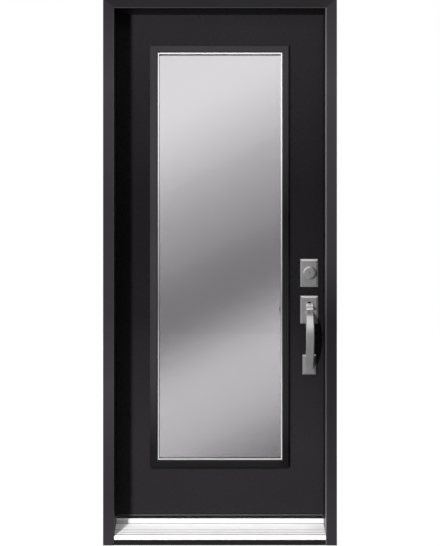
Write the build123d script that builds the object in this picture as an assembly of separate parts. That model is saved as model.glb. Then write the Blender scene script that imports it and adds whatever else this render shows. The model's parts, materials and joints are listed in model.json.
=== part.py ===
from build123d import *

import math
import os

# A glazed steel entry door, hung in its frame. Sizes are in millimetres.
# X runs to the right as seen from outside, Y runs inward and Z up. The origin is on the underside of the
# sill, midway between the jambs, in the plane where the casing meets the jambs.

# Cutters run past the face that they open by PAST, and an edge is found within NEAR of its place
PAST = 1.0
NEAR = 0.1

# Leaf
LEAF_WIDTH = 857.0
LEAF_HEIGHT = 2032.0
LEAF_THICKNESS = 44.5
LATCH_BEVEL = 2.3
SKIN = 0.8
HEM = 9.0
STILE_WIDTH = 40.0
RAIL_HEIGHT = 38.0

# Gaps around the leaf
EDGE_GAP = 5.0
SILL_GAP = 8.5
SWEEP_GAP = 5.0
SEAL_GAP = 0.4

# Jambs, head and casing
JAMB_DEPTH = 116.0
JAMB_THICKNESS = 19.0
STOP_PROJECTION = 17.5
SEAL_SPACE = 10.0
CASING_WIDTH = 44.0
CASING_THICKNESS = 32.0
CASING_ROUND = 3.0
STOP_ROUND = 1.5

# Seals
KERF_WIDTH = 3.0
KERF_DEPTH = 11.0
KERF_INSET = 3.5
BARB_CLEARANCE = 0.3
SEAL_WIDTH = 13.0
SEAL_ROUND = 4.0
SEAL_SETBACK = 1.5
SEAL_END_GAP = 0.5
SEAL_BUTT_GAP = 0.3

# Sill
SILL_TOP = 84.0
BASE_HEIGHT = 22.0
NOSE_TOP = 36.5
NOSE_SETBACK = 2.0
BASE_SETBACK = 1.5
DECK_BACK_HEIGHT = 67.0
DECK_SHEET = 4.0
GROOVE_WIDTH = 3.2
GROOVE_DEPTH = 2.0
GROOVE_COUNT = 3
FIRST_GROOVE = 8.0
GROOVE_PITCH = 15.5
NOSE_CHAMFER = 3.0
CAP_FRONT = 55.0
CAP_ROUND = 4.0
CAP_BACK_DROP = 8.0

# Lite
SIGHT_WIDTH = 500.0
SIGHT_HEIGHT = 1638.0
SIGHT_CENTRE = 1138.6
LITE_BAR = 32.0
LITE_PROJECTION = 12.0
LITE_OUTER_SLOPE = 7.0
LITE_INNER_SLOPE = 5.0
LITE_EDGE = 3.0
CUTOUT_LAP = 16.0
LITE_LEG = 14.0
GLASS_THICKNESS = 4.0
GLASS_CAVITY = 14.0
GLASS_LAP = 12.0
SPACER_WIDTH = 17.0
SPACER_SHOWING = 5.0

# Sweep
SWEEP_SHEET = 1.5
SWEEP_END_GAP = 8.0
FIN_COUNT = 4
FIN_THICKNESS = 1.6
FIRST_FIN = 5.0
FIN_PITCH = 11.0
LIP_END_GAP = 2.0
LIP_FOLD = 3.0
LIP_RISE = 6.0

# Hinges
HINGE_HEIGHT = 101.6
HINGE_SHEET = 3.0
HINGE_REACH = 32.0
HINGE_SETBACK = 1.0
KNUCKLES = 5
KNUCKLE_GAP = 0.3
KNUCKLE_RADIUS = 6.0
PIN_RADIUS = 3.0
PIN_CLEARANCE = 0.05
PIN_STANDOFF = 7.5
PIN_HEAD_RADIUS = 5.0
PIN_HEAD_HEIGHT = 4.0
TOP_HINGE_DROP = 178.0
BOTTOM_HINGE_RISE = 280.0

# Deadbolt and handleset
BACKSET = 69.0
HANDLE_HEIGHT = 923.0
LOCK_SPACING = 148.0
PLATE_WIDTH = 72.0
PLATE_HEIGHT = 112.0
PLATE_THICKNESS = 10.0
PLATE_BEVEL = 8.0
PLATE_BEVEL_DEPTH = 5.0
COLLAR_RADIUS = 26.0
COLLAR_FRONT_RADIUS = 20.0
COLLAR_SKIRT = 7.0
COLLAR_LENGTH = 12.0
CYLINDER_FACE_RADIUS = 13.5
CYLINDER_FACE_RAISE = 1.5
PLUG_RADIUS = 7.5
PLUG_CLEARANCE = 0.05
PLUG_END_CLEARANCE = 0.3
KEYWAY_WIDTH = 2.0
KEYWAY_HEIGHT = 9.0
KEYWAY_DEPTH = 10.0
SLOT_WIDTH = 12.0
SLOT_RISE = 22.0
SLOT_HEIGHT = 20.0
THUMB_STEM_WIDTH = 8.0
THUMB_STEM_HEIGHT = 8.0
THUMB_PIN_RADIUS = 1.5
THUMB_PIN_SETBACK = 5.5
THUMB_STEM_LAP = 4.0
THUMB_PAD_WIDTH = 28.0
THUMB_PAD_LENGTH = 27.0
THUMB_PAD_SHEET = 6.0
THUMB_PAD_GAP = 4.0
THUMB_PAD_DROP = 15.0
THUMB_PAD_DISH = 2.0
THUMB_PAD_CHAMFER = 4.0
THUMB_LIP_BEVEL = 5.0
THUMB_END_GAP = 1.5
GRIP_WIDTH = 33.0
GRIP_THICKNESS = 12.0
GRIP_PROJECTION = 60.0
GRIP_CHAMFER = 3.5
GRIP_TOP_DROP = 3.0
GRIP_BOW_DROP = 108.0
GRIP_FOOT_DROP = 241.0
BASE_WIDTH = 54.7
BASE_DROP = 220.0
BASE_TALL = 80.0
BASE_THICKNESS = 14.0
TURN_BOSS_RADIUS = 16.0
TURN_BOSS_HEIGHT = 6.0
TURN_WIDTH = 14.0
TURN_LENGTH = 34.0
TURN_DEPTH = 22.0
TURN_CHAMFER = 4.0
INNER_SPINDLE_RADIUS = 11.0
INNER_SPINDLE_LENGTH = 42.0
INNER_LEVER_LENGTH = 115.0
INNER_LEVER_HEIGHT = 20.0
INNER_LEVER_THICKNESS = 12.0
INNER_LEVER_CHAMFER = 3.0

# Bolts, faceplates and strikes
FACEPLATE_WIDTH = 25.4
FACEPLATE_HEIGHT = 57.0
FACEPLATE_SHEET = 3.0
BOLT_TUBE_RADIUS = 11.5
BOLT_TUBE_LENGTH = 50.0
BOLT_TUBE_CLEARANCE = 0.5
BOLT_END_GAP = 1.0
BOLT_FACE_GAP = 1.0
BOLT_FACE_DEPTH = 1.5
DEADBOLT_FACE = (15.0, 24.0)
LATCH_FACE = (12.0, 18.0)
STRIKE_WIDTH = 28.0
STRIKE_HEIGHT = 70.0
STRIKE_SHEET = 2.5
STRIKE_HOLE_WIDTH = 16.0
STRIKE_HOLE_HEIGHT = 28.0

# Holes for the frame screws, level with two hinges on one side and clear of the strikes on the other
FRAME_SCREW_RADIUS = 2.5
FRAME_SCREW_SETBACK = 30.0
LATCH_SCREW_DROP = 150.0
LATCH_SCREW_RISE = 350.0

# Positions worked out from the sizes above
RABBET_HALF = LEAF_WIDTH / 2 + EDGE_GAP
OPENING_HALF = RABBET_HALF - STOP_PROJECTION
FRAME_HALF = RABBET_HALF + JAMB_THICKNESS
CASING_HALF = OPENING_HALF + CASING_WIDTH
LEAF_HALF = LEAF_WIDTH / 2
LEAF_BACK = JAMB_DEPTH
LEAF_FRONT = JAMB_DEPTH - LEAF_THICKNESS
LEAF_MIDDLE = (LEAF_FRONT + LEAF_BACK) / 2
STOP_DEPTH = LEAF_FRONT - SEAL_SPACE
LEAF_BOTTOM = SILL_TOP + SILL_GAP
LEAF_TOP = LEAF_BOTTOM + LEAF_HEIGHT
HEAD_RABBET = LEAF_TOP + EDGE_GAP
HEAD_STOP = HEAD_RABBET - STOP_PROJECTION
FRAME_TOP = HEAD_RABBET + JAMB_THICKNESS
CASING_TOP = HEAD_STOP + CASING_WIDTH
SEAL_THICKNESS = SEAL_SPACE - SEAL_GAP
CUTOUT_WIDTH = SIGHT_WIDTH + 2 * CUTOUT_LAP
CUTOUT_HEIGHT = SIGHT_HEIGHT + 2 * CUTOUT_LAP
GLASS_FRONT = LEAF_MIDDLE - GLASS_CAVITY / 2 - GLASS_THICKNESS
LOCK_X = LEAF_HALF - BACKSET
PIN_X = -(LEAF_HALF + EDGE_GAP / 2)
PIN_Y = JAMB_DEPTH + PIN_STANDOFF
UPPER_HINGE = LEAF_TOP - TOP_HINGE_DROP - HINGE_HEIGHT / 2
LOWER_HINGE = LEAF_BOTTOM + BOTTOM_HINGE_RISE + HINGE_HEIGHT / 2
MIDDLE_HINGE = (UPPER_HINGE + LOWER_HINGE) / 2
HINGE_LEVELS = {"upper": UPPER_HINGE, "middle": MIDDLE_HINGE, "lower": LOWER_HINGE}
FRAME_SCREW_LEVELS = {
    -1: (UPPER_HINGE, LOWER_HINGE),
    1: (LEAF_TOP - LATCH_SCREW_DROP, LEAF_BOTTOM + LATCH_SCREW_RISE),
}
DEADBOLT_HEIGHT = HANDLE_HEIGHT + LOCK_SPACING
DECK_FRONT = -CASING_THICKNESS + NOSE_SETBACK
DECK_RISE = (DECK_BACK_HEIGHT - NOSE_TOP) / (CAP_FRONT - DECK_FRONT)


def block(x, y, z):
    """A box from its lowest and highest value along each axis."""
    size = (x[1] - x[0], y[1] - y[0], z[1] - z[0])
    return Pos((x[0] + x[1]) / 2, (y[0] + y[1]) / 2, (z[0] + z[1]) / 2) * Box(*size)


def upright(points, low, high):
    """A closed plan outline raised from one height to another."""
    face = make_face(Polyline(*points, close=True))
    return Pos(0, 0, low) * extrude(face, high - low)


def along_x(points, low, high):
    """A closed outline in Y and Z, carried along X."""
    face = make_face(Plane.YZ * Polyline(*points, close=True))
    return Pos(low, 0, 0) * extrude(face, high - low, dir=(1, 0, 0))


def rod_y(radius, x, z, start, end):
    """A round bar along Y."""
    return Pos(x, (start + end) / 2, z) * Rot(90, 0, 0) * Cylinder(radius, end - start)


def rod_x(radius, y, z, start, end):
    """A round bar along X."""
    return Pos((start + end) / 2, y, z) * Rot(0, 90, 0) * Cylinder(radius, end - start)


def rod_z(radius, x, y, low, high):
    """A round bar along Z."""
    return Pos(x, y, (low + high) / 2) * Cylinder(radius, high - low)


def edges_at(solid, along, across, position):
    """The edges parallel to one axis that lie at a position on another."""
    return solid.edges().filter_by(along).filter_by_position(across, position - NEAR, position + NEAR)


def turned(points, height):
    """A closed outline of radius and depth, turned about the axis of a lock."""
    face = make_face(Polyline(*points, close=True))
    return Pos(LOCK_X, 0, height) * revolve(face, Axis.Y)


def side_jamb(side):
    """One side jamb with its stop, its seal kerf and its screw holes. side is -1 at the hinges."""
    outline = [
        (side * FRAME_HALF, 0),
        (side * OPENING_HALF, 0),
        (side * OPENING_HALF, STOP_DEPTH),
        (side * RABBET_HALF, STOP_DEPTH),
        (side * RABBET_HALF, JAMB_DEPTH),
        (side * FRAME_HALF, JAMB_DEPTH),
    ]
    jamb = upright(outline, 0, HEAD_RABBET)
    jamb = fillet(edges_at(jamb, Axis.Z, Axis.X, side * OPENING_HALF), STOP_ROUND)
    kerf_x = sorted((side * (RABBET_HALF - KERF_INSET), side * (RABBET_HALF - KERF_INSET - KERF_WIDTH)))
    jamb -= block(kerf_x, (STOP_DEPTH - KERF_DEPTH, STOP_DEPTH + PAST), (SILL_TOP, HEAD_RABBET))
    for level in FRAME_SCREW_LEVELS[side]:
        span = sorted((side * (FRAME_HALF + PAST), side * (OPENING_HALF - PAST)))
        jamb -= rod_x(FRAME_SCREW_RADIUS, FRAME_SCREW_SETBACK, level, *span)
    return jamb


def hinge_jamb():
    jamb = side_jamb(-1)
    for level in HINGE_LEVELS.values():
        jamb -= block(
            (-RABBET_HALF - HINGE_SHEET, -RABBET_HALF + PAST),
            (JAMB_DEPTH - HINGE_REACH, JAMB_DEPTH + PAST),
            (level - HINGE_HEIGHT / 2, level + HINGE_HEIGHT / 2),
        )
    return jamb


def latch_jamb():
    """The jamb on the lock side, let in for the strikes, with a bolt hole right through behind each."""
    jamb = side_jamb(1)
    for level in (DEADBOLT_HEIGHT, HANDLE_HEIGHT):
        jamb -= block(
            (RABBET_HALF - PAST, RABBET_HALF + STRIKE_SHEET),
            (LEAF_MIDDLE - STRIKE_WIDTH / 2, LEAF_MIDDLE + STRIKE_WIDTH / 2),
            (level - STRIKE_HEIGHT / 2, level + STRIKE_HEIGHT / 2),
        )
        jamb -= block(
            (RABBET_HALF - PAST, FRAME_HALF + PAST),
            (LEAF_MIDDLE - STRIKE_HOLE_WIDTH / 2, LEAF_MIDDLE + STRIKE_HOLE_WIDTH / 2),
            (level - STRIKE_HOLE_HEIGHT / 2, level + STRIKE_HOLE_HEIGHT / 2),
        )
    return jamb


def strike(level):
    """A strike plate let flush into the latch jamb, with its bolt hole."""
    plate = block(
        (RABBET_HALF, RABBET_HALF + STRIKE_SHEET),
        (LEAF_MIDDLE - STRIKE_WIDTH / 2, LEAF_MIDDLE + STRIKE_WIDTH / 2),
        (level - STRIKE_HEIGHT / 2, level + STRIKE_HEIGHT / 2),
    )
    plate -= block(
        (RABBET_HALF - PAST, RABBET_HALF + STRIKE_SHEET + PAST),
        (LEAF_MIDDLE - STRIKE_HOLE_WIDTH / 2, LEAF_MIDDLE + STRIKE_HOLE_WIDTH / 2),
        (level - STRIKE_HOLE_HEIGHT / 2, level + STRIKE_HOLE_HEIGHT / 2),
    )
    return plate


def head_jamb():
    """The head, which lies on the side jambs and carries the head stop between theirs."""
    head = block((-FRAME_HALF, FRAME_HALF), (0, JAMB_DEPTH), (HEAD_RABBET, FRAME_TOP))
    stop = block((-OPENING_HALF, OPENING_HALF), (0, STOP_DEPTH), (HEAD_STOP, HEAD_RABBET))
    kerf_low = HEAD_RABBET - KERF_INSET - KERF_WIDTH
    kerf = block(
        (-OPENING_HALF, OPENING_HALF),
        (STOP_DEPTH - KERF_DEPTH, STOP_DEPTH + PAST),
        (kerf_low, kerf_low + KERF_WIDTH),
    )
    return head + (stop - kerf)


def casing_bar(length):
    """A casing bar along X, centred, with its inner edge on the X axis and mitred ends."""
    outline = make_face(Polyline(
        (-length / 2, 0),
        (length / 2, 0),
        (length / 2 + CASING_WIDTH, CASING_WIDTH),
        (-length / 2 - CASING_WIDTH, CASING_WIDTH),
        close=True,
    ))
    return extrude(outline, CASING_THICKNESS)


def head_casing():
    bar = Pos(0, 0, HEAD_STOP) * Rot(90, 0, 0) * casing_bar(2 * OPENING_HALF)
    return fillet(edges_at(bar, Axis.X, Axis.Y, -CASING_THICKNESS), CASING_ROUND)


def side_casing(side):
    outline = [
        (side * OPENING_HALF, 0),
        (side * CASING_HALF, 0),
        (side * CASING_HALF, CASING_TOP),
        (side * OPENING_HALF, HEAD_STOP),
    ]
    face = make_face(Plane.XZ * Polyline(*outline, close=True))
    bar = extrude(face, CASING_THICKNESS, dir=(0, -1, 0))
    return fillet(edges_at(bar, Axis.Z, Axis.Y, -CASING_THICKNESS), CASING_ROUND)


def deck_height(y):
    """The height of the deck's upper face at a distance from the casing plane."""
    return NOSE_TOP + (y - DECK_FRONT) * DECK_RISE


def notched(solid):
    """Trims a sill piece around the jamb stops."""
    for side in (-1, 1):
        span = sorted((side * OPENING_HALF, side * (RABBET_HALF + PAST)))
        solid -= block(span, (-CASING_THICKNESS - PAST, STOP_DEPTH), (-PAST, SILL_TOP + PAST))
    return solid


def sill_base():
    """The dark substrate under the deck and the cap."""
    front = DECK_FRONT + BASE_SETBACK
    lip_back = DECK_FRONT + DECK_SHEET
    outline = [
        (front, 0),
        (JAMB_DEPTH, 0),
        (JAMB_DEPTH, DECK_BACK_HEIGHT - DECK_SHEET),
        (CAP_FRONT, DECK_BACK_HEIGHT - DECK_SHEET),
        (lip_back, deck_height(lip_back) - DECK_SHEET),
        (lip_back, BASE_HEIGHT),
        (front, BASE_HEIGHT),
    ]
    return notched(along_x(outline, -RABBET_HALF, RABBET_HALF))


def sill_deck():
    """The grooved aluminium deck, which slopes down to a nose over the base."""
    back = CAP_FRONT
    lip_back = DECK_FRONT + DECK_SHEET
    outline = [
        (DECK_FRONT, BASE_HEIGHT),
        (lip_back, BASE_HEIGHT),
        (lip_back, deck_height(lip_back) - DECK_SHEET),
        (back, DECK_BACK_HEIGHT - DECK_SHEET),
        (back, DECK_BACK_HEIGHT),
    ]
    for index in reversed(range(GROOVE_COUNT)):
        start = DECK_FRONT + FIRST_GROOVE + index * GROOVE_PITCH
        end = start + GROOVE_WIDTH
        outline += [
            (end, deck_height(end)),
            (end, deck_height(end) - GROOVE_DEPTH),
            (start, deck_height(start) - GROOVE_DEPTH),
            (start, deck_height(start)),
        ]
    outline += [
        (DECK_FRONT + NOSE_CHAMFER, deck_height(DECK_FRONT + NOSE_CHAMFER)),
        (DECK_FRONT, deck_height(DECK_FRONT) - NOSE_CHAMFER),
    ]
    return notched(along_x(outline, -RABBET_HALF, RABBET_HALF))


def sill_cap():
    """The adjustable cap that the leaf closes over."""
    under = DECK_BACK_HEIGHT - DECK_SHEET
    outline = [
        (CAP_FRONT, under),
        (JAMB_DEPTH, under),
        (JAMB_DEPTH, SILL_TOP - CAP_BACK_DROP),
        (JAMB_DEPTH - CAP_BACK_DROP, SILL_TOP),
        (CAP_FRONT + CAP_ROUND / 2, SILL_TOP),
        (CAP_FRONT, SILL_TOP - CAP_ROUND),
    ]
    return notched(along_x(outline, -RABBET_HALF, RABBET_HALF))


def side_seal(side):
    """A foam seal on the rear face of a side stop, with its barb in the kerf."""
    outer = RABBET_HALF - SEAL_SETBACK
    rear = STOP_DEPTH + SEAL_THICKNESS
    pad_x = sorted((side * outer, side * (outer - SEAL_WIDTH)))
    span = (SILL_TOP + SEAL_END_GAP, HEAD_RABBET - SEAL_END_GAP)
    pad = block(pad_x, (STOP_DEPTH, rear), span)
    pad = fillet(edges_at(pad, Axis.Z, Axis.Y, rear), SEAL_ROUND)
    barb_outer = RABBET_HALF - KERF_INSET - BARB_CLEARANCE
    barb_inner = RABBET_HALF - KERF_INSET - KERF_WIDTH + BARB_CLEARANCE
    barb_x = sorted((side * barb_outer, side * barb_inner))
    barb_y = (STOP_DEPTH - KERF_DEPTH + BARB_CLEARANCE, STOP_DEPTH + PAST)
    return pad + block(barb_x, barb_y, span)


def head_seal():
    """The head seal, which runs between the side seals."""
    half = RABBET_HALF - SEAL_SETBACK - SEAL_WIDTH - SEAL_BUTT_GAP
    high = HEAD_RABBET - SEAL_SETBACK
    rear = STOP_DEPTH + SEAL_THICKNESS
    pad = block((-half, half), (STOP_DEPTH, rear), (high - SEAL_WIDTH, high))
    pad = fillet(edges_at(pad, Axis.X, Axis.Y, rear), SEAL_ROUND)
    barb_high = HEAD_RABBET - KERF_INSET - BARB_CLEARANCE
    barb_low = HEAD_RABBET - KERF_INSET - KERF_WIDTH + BARB_CLEARANCE
    barb_half = OPENING_HALF - BARB_CLEARANCE
    barb_y = (STOP_DEPTH - KERF_DEPTH + BARB_CLEARANCE, STOP_DEPTH + PAST)
    return pad + block((-barb_half, barb_half), barb_y, (barb_low, barb_high))


def knuckle_spans(level):
    """The lowest and highest point of each knuckle, from the bottom of a hinge up."""
    pitch = HINGE_HEIGHT / KNUCKLES
    bottom = level - HINGE_HEIGHT / 2
    spans = []
    for index in range(KNUCKLES):
        low = bottom + index * pitch + KNUCKLE_GAP / 2
        spans.append((low, low + pitch - KNUCKLE_GAP))
    return spans


def hinge_half(level, sheet_x, spans):
    """A hinge plate with the knuckles that belong to it."""
    low = level - HINGE_HEIGHT / 2
    sheet_end = JAMB_DEPTH - HINGE_SETBACK
    plate = block(sheet_x, (JAMB_DEPTH - HINGE_REACH, sheet_end), (low, low + HINGE_HEIGHT))
    for span in spans:
        plate += block(sheet_x, (sheet_end - PAST, PIN_Y), span)
        plate += rod_z(KNUCKLE_RADIUS, PIN_X, PIN_Y, *span)
    return plate


def frame_hinge(level):
    """The frame half, with three knuckles and the pin."""
    spans = knuckle_spans(level)
    half = hinge_half(level, (-RABBET_HALF - HINGE_SHEET, -RABBET_HALF), spans[0::2])
    top = spans[-1][1]
    half += rod_z(PIN_RADIUS, PIN_X, PIN_Y, spans[0][0], top + PAST)
    half += rod_z(PIN_HEAD_RADIUS, PIN_X, PIN_Y, top, top + PIN_HEAD_HEIGHT)
    return half


def door_hinge(level):
    """The leaf half, with two knuckles bored for the pin."""
    spans = knuckle_spans(level)
    half = hinge_half(level, (-LEAF_HALF, -LEAF_HALF + HINGE_SHEET), spans[1::2])
    return half - rod_z(PIN_RADIUS + PIN_CLEARANCE, PIN_X, PIN_Y, spans[0][0], spans[-1][1])


def lite_hole():
    """The cut-out for the lite, through the whole leaf."""
    half = CUTOUT_WIDTH / 2
    tall = CUTOUT_HEIGHT / 2
    depth = (LEAF_FRONT - PAST, LEAF_BACK + PAST)
    return block((-half, half), depth, (SIGHT_CENTRE - tall, SIGHT_CENTRE + tall))


def leaf_edge(y):
    """How far the bevelled latch edge stands from the centre at a depth in the leaf."""
    return LEAF_HALF - LATCH_BEVEL * (LEAF_BACK - y) / LEAF_THICKNESS


def skin(front, back, hem_end):
    """A sheet steel skin with a hem at each edge of the leaf."""
    outline = [
        (-LEAF_HALF, front),
        (leaf_edge(front), front),
        (leaf_edge(hem_end), hem_end),
        (leaf_edge(hem_end) - SKIN, hem_end),
        (leaf_edge(back) - SKIN, back),
        (-LEAF_HALF + SKIN, back),
        (-LEAF_HALF + SKIN, hem_end),
        (-LEAF_HALF, hem_end),
    ]
    sheet = upright(outline, LEAF_BOTTOM, LEAF_TOP) - lite_hole()
    for level in HINGE_LEVELS.values():
        sheet -= hinge_pocket(level)
    return sheet


def hinge_pocket(level):
    """The mortise for a hinge plate in the leaf's edge."""
    return block(
        (-LEAF_HALF - PAST, -LEAF_HALF + HINGE_SHEET),
        (JAMB_DEPTH - HINGE_REACH, JAMB_DEPTH + PAST),
        (level - HINGE_HEIGHT / 2, level + HINGE_HEIGHT / 2),
    )


def exterior_skin():
    return skin(LEAF_FRONT, LEAF_FRONT + SKIN, LEAF_FRONT + HEM)


def interior_skin():
    return skin(LEAF_BACK, LEAF_BACK - SKIN, LEAF_BACK - HEM)


def hinge_stile():
    """The wood stile along the hinges, rebated for the hems and mortised for the hinges."""
    outline = [
        (-LEAF_HALF + SKIN, LEAF_FRONT + SKIN),
        (-LEAF_HALF + STILE_WIDTH, LEAF_FRONT + SKIN),
        (-LEAF_HALF + STILE_WIDTH, LEAF_BACK - SKIN),
        (-LEAF_HALF + SKIN, LEAF_BACK - SKIN),
        (-LEAF_HALF + SKIN, LEAF_BACK - HEM),
        (-LEAF_HALF, LEAF_BACK - HEM),
        (-LEAF_HALF, LEAF_FRONT + HEM),
        (-LEAF_HALF + SKIN, LEAF_FRONT + HEM),
    ]
    stile = upright(outline, LEAF_BOTTOM, LEAF_TOP)
    for level in HINGE_LEVELS.values():
        stile -= hinge_pocket(level)
    return stile


def bolt_space(level):
    """The faceplate mortise and the bore behind it for a bolt unit."""
    edge = leaf_edge(LEAF_MIDDLE)
    outer_end = edge + LATCH_BEVEL
    mortise = faceplate_outline(level, edge - FACEPLATE_SHEET, outer_end)
    inner_end = edge - BOLT_TUBE_LENGTH - BOLT_END_GAP
    bore = rod_x(BOLT_TUBE_RADIUS + BOLT_TUBE_CLEARANCE, LEAF_MIDDLE, level, inner_end, outer_end)
    return mortise + bore


def faceplate_outline(level, start, end):
    """The block that a faceplate fills in the leaf's edge."""
    return block(
        (start, end),
        (LEAF_MIDDLE - FACEPLATE_WIDTH / 2, LEAF_MIDDLE + FACEPLATE_WIDTH / 2),
        (level - FACEPLATE_HEIGHT / 2, level + FACEPLATE_HEIGHT / 2),
    )


def lock_stile():
    """The stile along the latch edge, bored for both bolt units."""
    outline = [
        (LEAF_HALF - STILE_WIDTH, LEAF_FRONT + SKIN),
        (leaf_edge(LEAF_FRONT + SKIN) - SKIN, LEAF_FRONT + SKIN),
        (leaf_edge(LEAF_FRONT + HEM) - SKIN, LEAF_FRONT + HEM),
        (leaf_edge(LEAF_FRONT + HEM), LEAF_FRONT + HEM),
        (leaf_edge(LEAF_BACK - HEM), LEAF_BACK - HEM),
        (leaf_edge(LEAF_BACK - HEM) - SKIN, LEAF_BACK - HEM),
        (leaf_edge(LEAF_BACK - SKIN) - SKIN, LEAF_BACK - SKIN),
        (LEAF_HALF - STILE_WIDTH, LEAF_BACK - SKIN),
    ]
    stile = upright(outline, LEAF_BOTTOM, LEAF_TOP)
    for level in (DEADBOLT_HEIGHT, HANDLE_HEIGHT):
        stile -= bolt_space(level)
    return stile


def rail(low, high):
    """A rail between the stiles."""
    return block(
        (-LEAF_HALF + STILE_WIDTH, LEAF_HALF - STILE_WIDTH),
        (LEAF_FRONT + SKIN, LEAF_BACK - SKIN),
        (low, high),
    )


def foam_core():
    """The core between the stiles and rails, around the lite."""
    core = rail(LEAF_BOTTOM + RAIL_HEIGHT, LEAF_TOP - RAIL_HEIGHT) - lite_hole()
    for level in (DEADBOLT_HEIGHT, HANDLE_HEIGHT):
        core -= bolt_space(level)
    return core


def lite_frame():
    """The outside lite frame: a mitred ring with sloping edges and a leg into the cut-out."""
    face_y = LEAF_FRONT - LITE_PROJECTION
    profile = [
        (0, GLASS_FRONT),
        (0, face_y + LITE_INNER_SLOPE),
        (LITE_INNER_SLOPE, face_y),
        (LITE_BAR - LITE_OUTER_SLOPE, face_y),
        (LITE_BAR, LEAF_FRONT - LITE_EDGE),
        (LITE_BAR, LEAF_FRONT),
        (LITE_LEG, LEAF_FRONT),
        (LITE_LEG, GLASS_FRONT),
    ]
    ring = None
    for side in (-1, 1):
        tall = SIGHT_HEIGHT / 2 + LITE_BAR
        points = [(side * (SIGHT_WIDTH / 2 + u), y) for u, y in profile]
        bar = upright(points, SIGHT_CENTRE - tall, SIGHT_CENTRE + tall)
        bar = bar & lite_wedge(side, True)
        ring = bar if ring is None else ring + bar
    for side in (-1, 1):
        wide = SIGHT_WIDTH / 2 + LITE_BAR
        points = [(y, SIGHT_CENTRE + side * (SIGHT_HEIGHT / 2 + u)) for u, y in profile]
        bar = along_x(points, -wide, wide) & lite_wedge(side, False)
        ring = ring + bar
    return ring


def lite_wedge(side, upright_bar):
    """The mitred share of the ring that belongs to one bar."""
    wide = SIGHT_WIDTH / 2
    tall = SIGHT_HEIGHT / 2
    reach = LITE_BAR + PAST
    if upright_bar:
        outline = [
            (side * wide, SIGHT_CENTRE - tall),
            (side * (wide + reach), SIGHT_CENTRE - tall - reach),
            (side * (wide + reach), SIGHT_CENTRE + tall + reach),
            (side * wide, SIGHT_CENTRE + tall),
        ]
    else:
        outline = [
            (-wide, SIGHT_CENTRE + side * tall),
            (-wide - reach, SIGHT_CENTRE + side * (tall + reach)),
            (wide + reach, SIGHT_CENTRE + side * (tall + reach)),
            (wide, SIGHT_CENTRE + side * tall),
        ]
    face = make_face(Plane.XZ * Polyline(*outline, close=True))
    depth = LEAF_THICKNESS + LITE_PROJECTION + PAST
    return Pos(0, LEAF_BACK, 0) * extrude(face, depth, dir=(0, -1, 0))


def mirrored(solid):
    """The same piece on the other face of the leaf."""
    return mirror(solid, about=Plane.XZ.offset(-LEAF_MIDDLE))


def pane(front):
    """A sheet of glass, lapped by the lite frame all round."""
    half = SIGHT_WIDTH / 2 + GLASS_LAP
    tall = SIGHT_HEIGHT / 2 + GLASS_LAP
    depth = (front, front + GLASS_THICKNESS)
    return block((-half, half), depth, (SIGHT_CENTRE - tall, SIGHT_CENTRE + tall))


def glass_spacer():
    """The bright bar between the panes, whose inner edge shows inside the lite frame."""
    depth = (GLASS_FRONT + GLASS_THICKNESS, GLASS_FRONT + GLASS_THICKNESS + GLASS_CAVITY)
    inner_half = SIGHT_WIDTH / 2 - SPACER_SHOWING
    inner_tall = SIGHT_HEIGHT / 2 - SPACER_SHOWING
    outer_half = inner_half + SPACER_WIDTH
    outer_tall = inner_tall + SPACER_WIDTH
    ring = block((-outer_half, outer_half), depth, (SIGHT_CENTRE - outer_tall, SIGHT_CENTRE + outer_tall))
    return ring - block(
        (-inner_half, inner_half),
        (depth[0] - PAST, depth[1] + PAST),
        (SIGHT_CENTRE - inner_tall, SIGHT_CENTRE + inner_tall),
    )


def bottom_sweep():
    """The sweep under the leaf, with fins and an outside lip."""
    half = LEAF_HALF - SWEEP_END_GAP
    low = SILL_TOP + SWEEP_GAP
    root = LEAF_BOTTOM - SWEEP_SHEET
    strip = block((-half, half), (LEAF_FRONT, LEAF_BACK), (root, LEAF_BOTTOM))
    for index in range(FIN_COUNT):
        y = LEAF_FRONT + FIRST_FIN + index * FIN_PITCH
        strip += block((-half, half), (y, y + FIN_THICKNESS), (low, LEAF_BOTTOM))
    lip_half = OPENING_HALF - LIP_END_GAP
    lip_front = LEAF_FRONT - SWEEP_SHEET
    strip += block((-lip_half, lip_half), (lip_front, LEAF_FRONT + LIP_FOLD), (low, LEAF_BOTTOM))
    strip += block((-lip_half, lip_half), (lip_front, LEAF_FRONT), (low, LEAF_BOTTOM + LIP_RISE))
    return strip


def bevelled_plate(height, width, tall, thickness):
    """A rectangular plate on the leaf's outside face, bevelled all round its front."""
    plate = block(
        (LOCK_X - width / 2, LOCK_X + width / 2),
        (LEAF_FRONT - thickness, LEAF_FRONT),
        (height - tall / 2, height + tall / 2),
    )
    front = plate.faces().sort_by(Axis.Y)[0]
    return chamfer(front.edges(), PLATE_BEVEL, PLATE_BEVEL_DEPTH, reference=front)


def deadbolt_rose():
    return bevelled_plate(DEADBOLT_HEIGHT, PLATE_WIDTH, PLATE_HEIGHT, PLATE_THICKNESS)


def deadbolt_cylinder():
    """The tapered collar and, raised on it, the fixed face of the lock cylinder, bored for the plug."""
    seat = LEAF_FRONT - PLATE_THICKNESS
    rim = seat - COLLAR_LENGTH
    face = rim - CYLINDER_FACE_RAISE
    bore = PLUG_RADIUS + PLUG_CLEARANCE
    return turned([
        (bore, seat),
        (COLLAR_RADIUS, seat),
        (COLLAR_RADIUS, seat - COLLAR_SKIRT),
        (COLLAR_FRONT_RADIUS, rim),
        (CYLINDER_FACE_RADIUS, rim),
        (CYLINDER_FACE_RADIUS, face),
        (bore, face),
    ], DEADBOLT_HEIGHT)


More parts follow.
